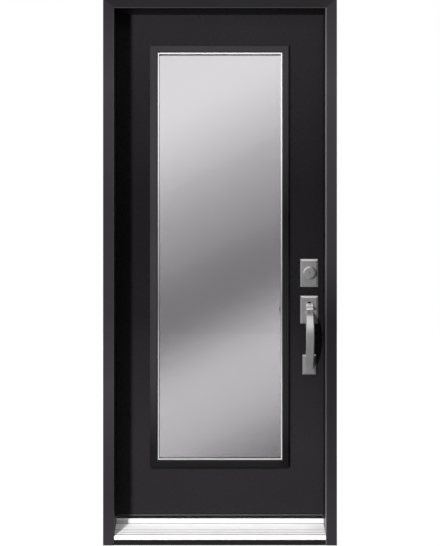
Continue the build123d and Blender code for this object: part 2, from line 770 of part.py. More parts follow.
def key_plug():
    """The plug that the key turns, with its keyway."""
    start = LEAF_FRONT - PLATE_THICKNESS - COLLAR_LENGTH - CYLINDER_FACE_RAISE
    end = LEAF_FRONT - PLATE_THICKNESS - PLUG_END_CLEARANCE
    plug = rod_y(PLUG_RADIUS, LOCK_X, DEADBOLT_HEIGHT, start, end)
    plug -= block(
        (LOCK_X - KEYWAY_WIDTH / 2, LOCK_X + KEYWAY_WIDTH / 2),
        (start - PAST, start + KEYWAY_DEPTH),
        (DEADBOLT_HEIGHT - KEYWAY_HEIGHT / 2, DEADBOLT_HEIGHT + KEYWAY_HEIGHT / 2),
    )
    return plug


def inner_deadbolt_rose():
    return mirrored(deadbolt_rose())


def deadbolt_thumbturn():
    """The turn on the inside, a tapered bar on a short boss."""
    seat = LEAF_BACK + PLATE_THICKNESS
    boss = rod_y(TURN_BOSS_RADIUS, LOCK_X, DEADBOLT_HEIGHT, seat, seat + TURN_BOSS_HEIGHT)
    bar = block(
        (LOCK_X - TURN_WIDTH / 2, LOCK_X + TURN_WIDTH / 2),
        (seat + TURN_BOSS_HEIGHT - PAST, seat + TURN_DEPTH),
        (DEADBOLT_HEIGHT - TURN_LENGTH / 2, DEADBOLT_HEIGHT + TURN_LENGTH / 2),
    )
    bar = chamfer(bar.edges().filter_by(Axis.Z), TURN_CHAMFER)
    return boss + bar


def bolt_unit(level, bolt_face):
    """A faceplate with its bolt drawn back flush, and the tube behind it.

    bolt_face is the width and the height of the bolt's end.
    """
    edge = leaf_edge(LEAF_MIDDLE - FACEPLATE_WIDTH / 2)
    seat = leaf_edge(LEAF_MIDDLE) - FACEPLATE_SHEET
    inner_end = seat + FACEPLATE_SHEET - BOLT_TUBE_LENGTH
    half_width = bolt_face[0] / 2
    half_height = bolt_face[1] / 2
    unit = faceplate_outline(level, seat, edge)
    unit += rod_x(BOLT_TUBE_RADIUS, LEAF_MIDDLE, level, inner_end, seat + PAST)
    unit -= block(
        (edge - BOLT_FACE_DEPTH, edge + PAST),
        (LEAF_MIDDLE - half_width - BOLT_FACE_GAP, LEAF_MIDDLE + half_width + BOLT_FACE_GAP),
        (level - half_height - BOLT_FACE_GAP, level + half_height + BOLT_FACE_GAP),
    )
    return unit + block(
        (seat, edge),
        (LEAF_MIDDLE - half_width, LEAF_MIDDLE + half_width),
        (level - half_height, level + half_height),
    )


def handle_rose():
    """The upper plate of the handleset, with the slot and the cross pin of the thumb lever."""
    plate = bevelled_plate(HANDLE_HEIGHT, PLATE_WIDTH, PLATE_HEIGHT, PLATE_THICKNESS)
    level = HANDLE_HEIGHT + SLOT_RISE
    plate -= block(
        (LOCK_X - SLOT_WIDTH / 2, LOCK_X + SLOT_WIDTH / 2),
        (LEAF_FRONT - PLATE_THICKNESS - PAST, LEAF_FRONT + PAST),
        (level - SLOT_HEIGHT / 2, level + SLOT_HEIGHT / 2),
    )
    return plate + thumb_pin(THUMB_PIN_RADIUS, SLOT_WIDTH / 2 + PAST)


def thumb_pin(radius, reach):
    """The pin that the thumb lever turns on, or its bore."""
    level = HANDLE_HEIGHT + SLOT_RISE
    return rod_x(radius, LEAF_FRONT - THUMB_PIN_SETBACK, level, LOCK_X - reach, LOCK_X + reach)


def thumb_lever():
    """The thumb lever: a stem through the plate and a dished pad, with a bevelled lip, above the grip."""
    level = HANDLE_HEIGHT + SLOT_RISE
    face = LEAF_FRONT - PLATE_THICKNESS
    half_stem = THUMB_STEM_HEIGHT / 2
    stem = block(
        (LOCK_X - THUMB_STEM_WIDTH / 2, LOCK_X + THUMB_STEM_WIDTH / 2),
        (face - THUMB_PAD_GAP - THUMB_STEM_LAP, LEAF_FRONT - THUMB_END_GAP),
        (level - half_stem, level + half_stem),
    )
    stem -= thumb_pin(THUMB_PIN_RADIUS + PIN_CLEARANCE, SLOT_WIDTH / 2)
    start = face - THUMB_PAD_GAP
    tip = face - THUMB_PAD_LENGTH
    middle = (start + tip) / 2
    top = level - THUMB_PAD_DROP
    under = top - THUMB_PAD_SHEET
    side = [
        Line((start, level - half_stem), (start, level + half_stem)),
        ThreePointArc((start, level + half_stem), (middle, top + THUMB_PAD_DISH), (tip, top)),
        Line((tip, top), (tip, under)),
        ThreePointArc((tip, under), (middle, under + THUMB_PAD_DISH), (start, level - half_stem)),
    ]
    pad = extrude(make_face(Plane.YZ * Wire(side)), THUMB_PAD_WIDTH, dir=(1, 0, 0))
    pad = Pos(LOCK_X - THUMB_PAD_WIDTH / 2, 0, 0) * pad
    pad = chamfer(edges_at(pad, Axis.Z, Axis.Y, tip), THUMB_PAD_CHAMFER)
    lip = edges_at(pad, Axis.X, Axis.Y, tip).sort_by(Axis.Z)[-1]
    return stem + chamfer(lip, THUMB_LIP_BEVEL)


def bowed_side(end_y, end_z, inset):
    """One edge of the grip's side view, an arc from its outermost point to the face at end_y, and its end.

    With no inset the arc ends at end_z. An inset draws it parallel to that, further in.
    """
    outermost = LEAF_FRONT - GRIP_PROJECTION
    middle_z = HANDLE_HEIGHT - GRIP_BOW_DROP
    outward = end_y - outermost
    rise = end_z - middle_z
    outer_radius = (outward ** 2 + rise ** 2) / (2 * outward)
    centre_y = outermost + outer_radius
    radius = outer_radius - inset
    half_turn = math.copysign(math.acos((centre_y - end_y) / radius), rise) / 2
    points = []
    for turn in (0, half_turn, 2 * half_turn):
        points.append((centre_y - radius * math.cos(turn), middle_z + radius * math.sin(turn)))
    return ThreePointArc(*points), points[-1]


def handle_grip():
    """The bowed grip bar, from the plate out and back to the lower base, chamfered along its sides."""
    plate = (LEAF_FRONT - PLATE_THICKNESS, HANDLE_HEIGHT - GRIP_TOP_DROP)
    base = (LEAF_FRONT - BASE_THICKNESS, HANDLE_HEIGHT - GRIP_FOOT_DROP)
    sides = []
    for end in (plate, base):
        outer, outer_end = bowed_side(*end, 0)
        inner, inner_end = bowed_side(*end, GRIP_THICKNESS)
        sides += [outer, inner, Line(outer_end, inner_end)]
    grip = extrude(make_face(Plane.YZ * Wire(sides)), GRIP_WIDTH, dir=(1, 0, 0))
    grip = Pos(LOCK_X - GRIP_WIDTH / 2, 0, 0) * grip
    long_edges = grip.edges().filter_by(GeomType.CIRCLE)
    return chamfer(long_edges, GRIP_CHAMFER)


def handle_base():
    """The block that the foot of the grip stands on."""
    return bevelled_plate(HANDLE_HEIGHT - BASE_DROP, BASE_WIDTH, BASE_TALL, BASE_THICKNESS)


def inner_handle_rose():
    return mirrored(bevelled_plate(HANDLE_HEIGHT, PLATE_WIDTH, PLATE_HEIGHT, PLATE_THICKNESS))


def inner_lever():
    """The lever inside, on its round spindle, pointing away from the latch edge."""
    seat = LEAF_BACK + PLATE_THICKNESS
    end = seat + INNER_SPINDLE_LENGTH
    spindle = rod_y(INNER_SPINDLE_RADIUS, LOCK_X, HANDLE_HEIGHT, seat, end)
    bar = block(
        (LOCK_X - INNER_LEVER_LENGTH, LOCK_X + INNER_SPINDLE_RADIUS),
        (end - INNER_LEVER_THICKNESS, end),
        (HANDLE_HEIGHT - INNER_LEVER_HEIGHT / 2, HANDLE_HEIGHT + INNER_LEVER_HEIGHT / 2),
    )
    bar = chamfer(bar.edges().filter_by(Axis.X), INNER_LEVER_CHAMFER)
    return spindle + bar


def nodes():
    """Every piece by its name."""
    yield "hinge_jamb", hinge_jamb()
    yield "latch_jamb", latch_jamb()
    yield "head_jamb", head_jamb()
    yield "left_casing", side_casing(-1)
    yield "right_casing", side_casing(1)
    yield "head_casing", head_casing()
    yield "sill_base", sill_base()
    yield "sill_deck", sill_deck()
    yield "sill_cap", sill_cap()
    yield "hinge_side_seal", side_seal(-1)
    yield "latch_side_seal", side_seal(1)
    yield "head_seal", head_seal()
    yield "deadbolt_strike", strike(DEADBOLT_HEIGHT)
    yield "latch_strike", strike(HANDLE_HEIGHT)
    for name, level in HINGE_LEVELS.items():
        yield name + "_frame_hinge", frame_hinge(level)
        yield name + "_door_hinge", door_hinge(level)
    yield "exterior_skin", exterior_skin()
    yield "interior_skin", interior_skin()
    yield "foam_core", foam_core()
    yield "hinge_stile", hinge_stile()
    yield "lock_stile", lock_stile()
    yield "top_rail", rail(LEAF_TOP - RAIL_HEIGHT, LEAF_TOP)
    yield "bottom_rail", rail(LEAF_BOTTOM, LEAF_BOTTOM + RAIL_HEIGHT)
    yield "outer_lite_frame", lite_frame()
    yield "inner_lite_frame", mirrored(lite_frame())
    yield "outer_glass", pane(GLASS_FRONT)
    yield "inner_glass", pane(GLASS_FRONT + GLASS_THICKNESS + GLASS_CAVITY)
    yield "glass_spacer", glass_spacer()
    yield "bottom_sweep", bottom_sweep()
    yield "deadbolt_rose", deadbolt_rose()
    yield "deadbolt_cylinder", deadbolt_cylinder()
    yield "key_plug", key_plug()
    yield "inner_deadbolt_rose", inner_deadbolt_rose()
    yield "deadbolt_thumbturn", deadbolt_thumbturn()
    yield "deadbolt_unit", bolt_unit(DEADBOLT_HEIGHT, DEADBOLT_FACE)
    yield "handle_rose", handle_rose()
    yield "thumb_lever", thumb_lever()
    yield "handle_grip", handle_grip()
    yield "handle_base", handle_base()
    yield "inner_handle_rose", inner_handle_rose()
    yield "inner_lever", inner_lever()
    yield "latch_unit", bolt_unit(HANDLE_HEIGHT, LATCH_FACE)


os.makedirs("parts", exist_ok=True)
for name, solid in nodes():
    export_step(solid, "parts/" + name + ".step")
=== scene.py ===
"""Looks of the glazed steel entry door: materials, small fasteners, trim, studio and camera."""
import json
import math

import bmesh
import bpy
from mathutils import Matrix, Vector


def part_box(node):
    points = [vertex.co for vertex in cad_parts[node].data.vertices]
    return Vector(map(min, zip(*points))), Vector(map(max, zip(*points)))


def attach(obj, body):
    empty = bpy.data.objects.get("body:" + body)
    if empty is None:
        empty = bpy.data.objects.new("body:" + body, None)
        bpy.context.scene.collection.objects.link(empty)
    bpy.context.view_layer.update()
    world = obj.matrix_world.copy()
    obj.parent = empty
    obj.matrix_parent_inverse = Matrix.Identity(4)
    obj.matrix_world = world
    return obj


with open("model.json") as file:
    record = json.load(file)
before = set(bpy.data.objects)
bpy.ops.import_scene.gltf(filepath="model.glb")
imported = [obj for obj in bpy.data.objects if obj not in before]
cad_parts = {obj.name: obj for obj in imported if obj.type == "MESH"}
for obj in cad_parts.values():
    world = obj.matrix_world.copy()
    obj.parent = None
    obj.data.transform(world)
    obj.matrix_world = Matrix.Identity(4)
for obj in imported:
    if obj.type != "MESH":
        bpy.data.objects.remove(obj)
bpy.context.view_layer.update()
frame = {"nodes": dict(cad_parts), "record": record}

# Lengths are in metres and places in the part's own frame. Colours and levels are linear shares of white.

# Camera: square to the leaf, at the height of the deadbolt
CAMERA_PLACE = (0.0, -4.032, 1.071)
CAMERA_LENS = 44.74
CAMERA_SENSOR = 24.0

# World: gloss sees a dark room round the camera, diffuse faces a soft fill from above, left and behind
WHITE = 1.0
GLOSS_WHITE = 0.85
ROOM_DARK = 0.015
ROOM_AXIS = (-0.42, -0.91, 0.0)
ROOM_FLATNESS = 0.5
ROOM_INNER, ROOM_OUTER = 0.80, 0.32
FILL_LOW, FILL_HIGH = 0.01, 1.9
FILL_START, FILL_END = 0.5, 1.0
LEFT_FILL = 1.5
LEFT_START, LEFT_END = 0.78, 0.98
BACK_FILL = 1.1
BACK_START, BACK_END = 0.2, 0.9

# Floor: what the camera, gloss and light see of it
FLOOR_HALF = 14.0
FLOOR_GLOW = 0.88
FLOOR_GLOSS_NEAR, FLOOR_GLOSS_FAR = 0.06, 0.02
FLOOR_NEAR, FLOOR_FAR = -0.3, -1.6
FLOOR_COLOUR = (0.17, 0.17, 0.17, 1.0)
FLOOR_MIRRORED = (0.03, 0.03, 0.03, 1.0)

# Key light: a tall soft box
KEY_DISTANCE = 12.0
KEY_ANGLE = math.radians(31)
KEY_SIZE = (1.5, 2.0)
KEY_HEIGHT = 1.5
KEY_AIM = (0.0, 0.0, 1.1)
KEY_POWER = 2080.0

# Glass: a painted reflection, a soft grey slanting cloud coloured into what the outer pane lets through: the
# cloud's slope across the pane, and the share of white that shows at each height at its middle
GLASS_INDEX = 1.45
GLASS_BODY = (0.97, 0.98, 0.98, 1.0)
GLASS_CLEAR = (0.97, 0.975, 0.97, 1)
GLASS_GLOSS = 0.02
PAINTED_REFLECTION_SLANT = 0.51
PAINTED_REFLECTION_LOW, PAINTED_REFLECTION_HIGH = 0.1, 2.2
PAINTED_REFLECTION_PASS = 0.84
PAINTED_REFLECTION_GLOSS = 0.005
PAINTED_REFLECTION_GREEN = 0.977
PAINTED_REFLECTION_STOPS = [
    (0.22, 0.20), (0.40, 0.36), (0.62, 0.465), (0.78, 0.385), (0.96, 0.205), (1.20, 0.275), (1.50, 0.465),
    (1.74, 0.68), (2.05, 0.72),
]

# Paint
FRAME_BLACK = (0.0305, 0.0282, 0.0305)
DOOR_BLACK = (0.0150, 0.0137, 0.0150)
LITE_BLACKS = (0.031, 0.029, 0.031), (0.037, 0.035, 0.037)
BEAD_PAINTED_HIGHLIGHT_GREY = (0.60, 0.592, 0.60)
PEEL_DEPTH = 0.00006

# Painted reflection and shade: slow changes of tone with height, as (height, factor), standing in for the
# reflections and shade on the satin paint. They are set to come close to the photograph's look
SHEEN_TOP = 2.2
SHEEN_PEAK = 1.6
SLAB_PAINTED_SHEEN = [
    (0.13, 1.25), (0.36, 1.40), (0.79, 0.92), (0.91, 0.65), (1.41, 0.62), (1.81, 0.98), (2.09, 1.30),
]
FRAME_PAINTED_SHEEN = [
    (0.03, 0.98), (0.18, 0.82), (0.62, 1.14), (0.92, 0.86), (1.36, 0.80), (1.82, 1.17), (2.14, 0.65),
]
RIGHT_CASING_PAINTED_SHEEN = [(0.03, 0.95), (0.50, 0.57), (0.90, 0.40), (1.10, 0.82), (1.82, 1.20), (2.14, 0.8)]
# Painted shade: the head casing kept darker all along than the side casings
HEAD_CASING_PAINTED_SHADE = [(2.10, 0.42), (2.16, 0.46)]
LITE_PAINTED_SHEEN = [(0.35, 0.28), (0.49, 0.62), (0.63, 0.90), (0.89, 1.0)]
RIGHT_LITE_PAINTED_SHEEN = [(0.35, 0.17), (0.49, 0.42), (0.77, 0.42), (1.30, 0.18), (1.57, 0.66), (1.91, 0.95)]
RIGHT_LITE_SIDE = (0.24, 0.40)
BEAD_PAINTED_REFLECTION = [(0.32, 0.85), (0.65, 0.80), (0.95, 0.36), (1.28, 0.70), (1.53, 1.10), (1.80, 1.35)]

# Painted light on edges and narrow faces, as (axis, low, high, factor): a factor above 1 is a painted
# highlight, below 1 painted shade
HINGE_JAMB_PAINTED_SHADE = [("X", -0.4165, -0.4155, 0.1)]
LATCH_JAMB_PAINTED_SHADE = [("X", 0.4155, 0.4165, 0.07)]
HEAD_CASING_PAINTED_LIGHT = [("Z", 2.1100, 2.1125, 0.3), ("Z", 2.1125, 2.1155, 3.2)]
LEFT_CASING_PAINTED_LIGHT = [("X", -0.4190, -0.4163, 1.5), ("X", -0.4163, -0.4150, 0.15)]
RIGHT_CASING_PAINTED_HIGHLIGHT = [("X", 0.4150, 0.4186, 4.2)]

# Thumb lever: how far the painted highlight along its lip reaches back, and the nickel of that painted
# highlight and of the rest of the lever
LIP_HIGHLIGHT_REACH = 0.009
NICKEL_PAINTED_HIGHLIGHT, NICKEL_BESIDE_HIGHLIGHT = (0.97, 0.96, 0.95), (0.56, 0.55, 0.545)

# Sweep: the height span and colour of the painted highlight, a pale line along its lip
SWEEP_PAINTED_HIGHLIGHT_SPAN = (0.0940, 0.0972)
SWEEP_HIGHLIGHT_COLOUR = (0.11, 0.105, 0.11, 1.0)

# Sill: lines of painted shade in its three grooves and in the joint before its cap, along Y, as (start, end,
# share of the bare metal's tone)
SILL_SPAN = (-0.03, 0.06)
SILL_BLUR = 0.0002
SILL_PAINTED_SHADE_LINES = [
    (-0.0222, -0.0186, 0.25), (-0.0067, -0.0031, 0.42), (0.0088, 0.0124, 0.42), (0.0500, 0.0546, 0.30),
]

# Screw heads: SCREW_RINGS holds (share of the radius, height as a share of SCREW_RISE). SCREW_SUNK and the
# cross recess are shares of the radius too, but RECESS_TAPER is the share of the cross left at its bottom
SCREW_SIDES = 24
SCREW_RINGS = ((1.0, 0.0), (0.86, 1.0), (0.72, 1.15))
SCREW_RISE = 0.0004
SCREW_SUNK = 0.3
RECESS_SHARE = 0.58
RECESS_ARM = 0.15
RECESS_TAPER = 0.8
RECESS_DEPTH = 0.35

# Screw places: the X of each hinge leaf's face, and distances from the edge or the middle of the plate that
# a screw holds
LEVELS = ("upper", "middle", "lower")
HINGE_FACE = {"frame": -0.4335, "door": -0.4285}
HINGE_SCREW_RADIUS = 0.0042
HINGE_SCREW_LEVELS = (-0.038, -0.013, 0.013, 0.038)
HINGE_SCREW_OFFSETS = (0.009, 0.019, 0.009, 0.019)
PLATE_SCREW_RADIUS = 0.0038
STRIKE_SCREW_OFFSET = 0.0265
FACEPLATE_SCREW_RADIUS = 0.003
FACEPLATE_SCREW_OFFSET = 0.0225
FACEPLATE_SLOPE_DROP = 0.0008
ROSE_SCREW_RADIUS = 0.0034
ROSE_SCREW_INSET = 0.0135
CAP_SCREW_RADIUS = 0.0042
CAP_SCREW_DEPTH = 0.0915
CAP_SCREW_PLACES = (-0.33, -0.11, 0.11, 0.33)

# Glazing bead at the front of the lite frame's opening, a pale ring that paints a highlight round the pane's
# edge, with its profile as (inset from the edge, y)
SIGHT_HALF, SIGHT_TALL, SIGHT_MIDDLE = 0.250, 0.819, 1.1386
BEAD_PROFILE = ((-0.0003, 0.0648), (0.0036, 0.0648), (0.0050, 0.0660), (0.0050, 0.0690), (-0.0003, 0.0690))

# Black strips that stand in for shade, as (y, z) points: painted shade on the sill cap under the sweep's
# outside lip, and a painted shadow under the lite frame
SILL_SHADOW_STRIP_PROFILE = (
    (0.0665, 0.0840), (0.0665, 0.0872), (0.0680, 0.0880), (0.0725, 0.0880), (0.0745, 0.0868),
    (0.0750, 0.0840),
)
SILL_SHADOW_STRIP_HALF = 0.4154
LITE_SHADOW_STRIP_PROFILE = ((0.0715, 0.2815), (0.0702, 0.2819), (0.0696, 0.2828), (0.0696, 0.2874), (0.0715, 0.2874))
LITE_SHADOW_STRIP_HALF = 0.276

scene = bpy.context.scene
scene.view_settings.view_transform = "Standard"


# Shader building


def new_shader(name):
    """A material with a Principled shader; returns the material and its tree."""
    material = bpy.data.materials.new(name)
    material.use_nodes = True
    tree = material.node_tree
    tree.nodes.clear()
    output = tree.nodes.new("ShaderNodeOutputMaterial")
    shader = tree.nodes.new("ShaderNodeBsdfPrincipled")
    shader.name = "shader"
    tree.links.new(shader.outputs["BSDF"], output.inputs["Surface"])
    return material, tree


def put(tree, socket, value):
    """Sets a socket to a value, or links it where the value is itself a socket."""
    if isinstance(value, bpy.types.NodeSocket):
        tree.links.new(value, socket)
    else:
        socket.default_value = value


def add(tree, kind, inputs=None, **settings):
    """One node with its settings; inputs are values or the sockets that feed them."""
    node = tree.nodes.new(kind)
    for key, value in settings.items():
        setattr(node, key, value)
    for key, value in (inputs or {}).items():
        put(tree, node.inputs[key], value)
    return node


def feed(tree, **sockets):
    """Sets the Principled shader's inputs, named with underscores for spaces."""
    for key, value in sockets.items():
        put(tree, tree.nodes["shader"].inputs[key.replace("_", " ")], value)


def place(tree, scale=(1, 1, 1)):
    """Position on the object in metres, stretched by scale."""
    coordinate = add(tree, "ShaderNodeTexCoord")
    return add(tree, "ShaderNodeMapping", {"Vector": coordinate.outputs["Object"], "Scale": scale}).outputs[0]


def along(tree, position, axis):
    """One coordinate of a position."""
    return add(tree, "ShaderNodeSeparateXYZ", {"Vector": position}).outputs[axis]


def noise(tree, position, scale, detail=2.0, roughness=0.5):
    """A cloudy value; scale is in clouds to the metre."""
    return add(tree, "ShaderNodeTexNoise", {
        "Vector": position, "Scale": scale, "Detail": detail, "Roughness": roughness,
    }).outputs["Fac"]


def combine(tree, operation, first, second=0.0):
    """The result of one operation of the Math node."""
    return add(tree, "ShaderNodeMath", {0: first, 1: second}, operation=operation).outputs[0]


def spread(tree, value, low, high, start=0.3, end=0.7, smooth=False):
    """A grey value between two levels, following another value from start to end."""
    return add(tree, "ShaderNodeMapRange", {
        "Value": value, "From Min": start, "From Max": end, "To Min": low, "To Max": high,
    }, interpolation_type="SMOOTHSTEP" if smooth else "LINEAR").outputs["Result"]


def ramp(tree, value, stops, interpolation="LINEAR"):
    """A colour that follows a value through (place, colour) stops."""
    node = add(tree, "ShaderNodeValToRGB", {"Fac": value})
    node.color_ramp.interpolation = interpolation
    elements = node.color_ramp.elements
    while len(elements) < len(stops):
        elements.new(0.5)
    for element, (where, colour) in zip(elements, stops):
        element.position = where
        element.color = (*colour, 1)
    return node.outputs["Color"]


def tint(tree, value, dark, light, start=0.3, end=0.7):
    """A colour between dark and light, following a value."""
    return ramp(tree, value, [(start, dark), (end, light)])


def mixed(tree, share, first, second):
    """A colour between two others, by share."""
    return add(tree, "ShaderNodeMix", {0: share, 6: first, 7: second}, data_type="RGBA").outputs[2]


def multiplied(tree, first, second):
    """The product of two colours."""
    return add(tree, "ShaderNodeMix", {
        0: 1.0, 6: first, 7: second,
    }, data_type="RGBA", blend_type="MULTIPLY").outputs[2]


def shaded(colour, factor):
    """A colour made lighter or darker."""
    return tuple(min(1.0, channel * factor) for channel in colour)


def bump(tree, height, distance, strength=1.0):
    """A normal that follows a height; distance is how deep its relief is."""
    return add(tree, "ShaderNodeBump", {
        "Height": height, "Distance": distance, "Strength": strength,
    }).outputs["Normal"]


def band(tree, position, axis, low, high):
    """1 where the position along an axis lies between two values, else 0."""
    return add(tree, "ShaderNodeMath", {
        0: along(tree, position, axis), 1: (low + high) / 2, 2: (high - low) / 2,
    }, operation="COMPARE").outputs[0]


def with_painted_sheen(tree, position, colour, stops):
    """Painted reflection and shade: a colour made lighter or darker with height by the (height, factor) pairs
    in stops.
    """
    share = spread(tree, along(tree, position, "Z"), 0.0, 1.0, 0.0, SHEEN_TOP)
    tone = ramp(tree, share, [(level / SHEEN_TOP, [factor / SHEEN_PEAK] * 3) for level, factor in stops])
    return multiplied(tree, colour, tone)


# Materials


def satin_paint(name, colour, roughness, specular, painted_sheen, bands=()):
    """Sprayed satin paint: a faint orange peel, a cloudy sheen, and painted reflection and shade that change
    slowly with height.

    bands holds (axis, low, high, factor): there the tone is changed by that factor, a painted highlight above
    1 and painted shade below 1.
    """
    material, tree = new_shader(name)
    position = place(tree)
    clouds = noise(tree, position, scale=2.2, detail=3.0)
    peel = noise(tree, position, scale=520.0)
    grain = noise(tree, position, scale=60.0, detail=4.0, roughness=0.6)
    cloudy = tint(tree, clouds, shaded(colour, 0.93 * SHEEN_PEAK), shaded(colour, 1.07 * SHEEN_PEAK))
    for axis, low, high, factor in bands:
        inside = band(tree, position, axis, low, high)
        cloudy = mixed(tree, inside, cloudy, (*shaded(colour, factor * SHEEN_PEAK), 1.0))
    feed(
        tree,
        Base_Color=with_painted_sheen(tree, position, cloudy, painted_sheen),
        Roughness=spread(tree, grain, roughness - 0.03, roughness + 0.04),
        Specular_IOR_Level=specular,
        Normal=bump(tree, peel, PEEL_DEPTH),
    )
    return material


def brushed(name, colour, roughness, metallic, lines=900.0):
    """Brushed metal, with fine upright lines and a cloudy sheen."""
    material, tree = new_shader(name)
    strokes = noise(tree, place(tree, (1.0, 1.0, 0.02)), scale=lines, detail=3.0, roughness=0.7)
    clouds = noise(tree, place(tree), scale=26.0, detail=3.0)
    feed(
        tree,
        Base_Color=tint(tree, clouds, shaded(colour, 0.94), shaded(colour, 1.05)),
        Metallic=metallic,
        Roughness=spread(tree, strokes, roughness - 0.05, roughness + 0.06),
        Normal=bump(tree, strokes, 0.00002),
    )
    return material


def thumb_nickel_painted_highlight():
    """Nickel of the thumb lever, with a painted highlight along its lip."""
    material, tree = new_shader("thumb_nickel_painted_highlight")
    strokes = noise(tree, place(tree, (0.02, 1.0, 1.0)), scale=900.0, detail=3.0, roughness=0.7)
    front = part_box("thumb_lever")[0][1]
    inward = spread(tree, along(tree, place(tree), "Y"), 0.0, 1.0, front, front + LIP_HIGHLIGHT_REACH)
    feed(
        tree,
        Base_Color=tint(tree, inward, NICKEL_PAINTED_HIGHLIGHT, NICKEL_BESIDE_HIGHLIGHT, end=0.9),
        Metallic=0.55,
        Roughness=spread(tree, strokes, 0.24, 0.34),
        Normal=bump(tree, strokes, 0.00001),
    )
    return material


def sill_aluminium():
    """Mill-finish aluminium with drawing lines along the sill, faint scuffs, and painted shade in its grooves
    and before its cap.
    """
    material, tree = new_shader("sill_aluminium")
    drawn = noise(tree, place(tree, (0.01, 1.0, 1.0)), scale=1100.0, detail=3.0, roughness=0.65)
    scuffs = noise(tree, place(tree, (0.5, 1.0, 1.0)), scale=30.0, detail=5.0, roughness=0.7)
    stops = []
    for start, end, shade in SILL_PAINTED_SHADE_LINES:
        for where, value in ((start - SILL_BLUR, 1.0), (start, shade), (end, shade), (end + SILL_BLUR, 1.0)):
            stops.append(((where - SILL_SPAN[0]) / (SILL_SPAN[1] - SILL_SPAN[0]), [value] * 3))
    # Painted shade in the grooves and in the joint before the cap
    groove_shade = ramp(tree, spread(tree, along(tree, place(tree), "Y"), 0.0, 1.0, *SILL_SPAN), stops)
    bare = tint(tree, scuffs, (0.90, 0.89, 0.90), (0.96, 0.95, 0.96), 0.35, 0.6)
    feed(
        tree,
        Base_Color=multiplied(tree, bare, groove_shade),
        Roughness=spread(tree, drawn, 0.30, 0.42),
        Normal=bump(tree, drawn, 0.00001),
    )
    return material


def composite():
    """Dark composite sill base: pressed fibres with pale flecks."""
    material, tree = new_shader("sill_substrate")
    fibres = noise(tree, place(tree, (0.15, 1.0, 1.0)), scale=260.0, detail=4.0, roughness=0.7)
    feed(
        tree,
        Base_Color=tint(tree, fibres, (0.008, 0.007, 0.008), (0.018, 0.016, 0.017)),
        Roughness=spread(tree, fibres, 0.6, 0.8),
        Specular_IOR_Level=0.25,
        Normal=bump(tree, fibres, 0.0002),
    )
    return material


def foam(name, dark, light, cells, depth, roughness=0.85, highlight_span=None):
    """Closed-cell foam or soft rubber, with rounded cells. The last argument, where given, is the height span
    of a painted highlight, a pale line.
    """
    material, tree = new_shader(name)
    position = place(tree)
    cell = add(tree, "ShaderNodeTexVoronoi", {"Vector": position, "Scale": cells}).outputs["Distance"]
    clouds = noise(tree, position, scale=14.0, detail=3.0)
    colour = tint(tree, clouds, dark, light)
    if highlight_span:
        # Painted highlight: a pale line across the given heights
        colour = mixed(tree, band(tree, position, "Z", *highlight_span), colour, SWEEP_HIGHLIGHT_COLOUR)
    feed(
        tree,
        Base_Color=colour,
        Roughness=spread(tree, cell, roughness - 0.08, roughness + 0.08, 0.0, 1.0),
        Normal=bump(tree, cell, depth),
    )
    return material


def softwood():
    """Planed softwood stile, with its grain running up the leaf."""
    material, tree = new_shader("stile_wood")
    bands = add(tree, "ShaderNodeTexWave", {
        "Vector": place(tree, (1.0, 1.0, 0.05)), "Scale": 38.0, "Distortion": 6.0, "Detail": 3.0,
        "Detail Scale": 1.5,
    }, bands_direction="X").outputs["Fac"]
    pores = noise(tree, place(tree, (1.0, 1.0, 0.03)), scale=700.0, detail=3.0, roughness=0.7)
    feed(
        tree,
        Base_Color=tint(tree, bands, (0.42, 0.29, 0.17), (0.62, 0.47, 0.31), 0.1, 0.9),
        Roughness=spread(tree, pores, 0.5, 0.7),
        Normal=bump(tree, pores, 0.0001),
    )
    return material


def lite_moulding():
    """Moulded lite surround, painted to match the leaf over its fine moulded grain, with painted reflection
    and shade that change with height, set apart on its right-hand bar.
    """
    material, tree = new_shader("lite_frame")
    position = place(tree)
    clouds = noise(tree, position, scale=3.0, detail=3.0)
    grain = noise(tree, position, scale=900.0, detail=3.0, roughness=0.65)
    cloudy = tint(tree, clouds, *(shaded(black, SHEEN_PEAK) for black in LITE_BLACKS))
    feed(
        tree,
        Base_Color=mixed(
            tree, band(tree, position, "X", *RIGHT_LITE_SIDE),
            with_painted_sheen(tree, position, cloudy, LITE_PAINTED_SHEEN), with_painted_sheen(tree, position, cloudy, RIGHT_LITE_PAINTED_SHEEN)),
        Roughness=spread(tree, grain, 0.32, 0.42),
        Specular_IOR_Level=0.45,
        Normal=bump(tree, grain, 0.00005),
    )
    return material


def painted_reflection_colour(level):
    """What one face of the pane with the painted reflection lets through, so that both faces together show
    this share of white.
    """
    through = math.sqrt(max(level - PAINTED_REFLECTION_GLOSS, 0.0) / PAINTED_REFLECTION_PASS)
    return (through, through * PAINTED_REFLECTION_GREEN, through)


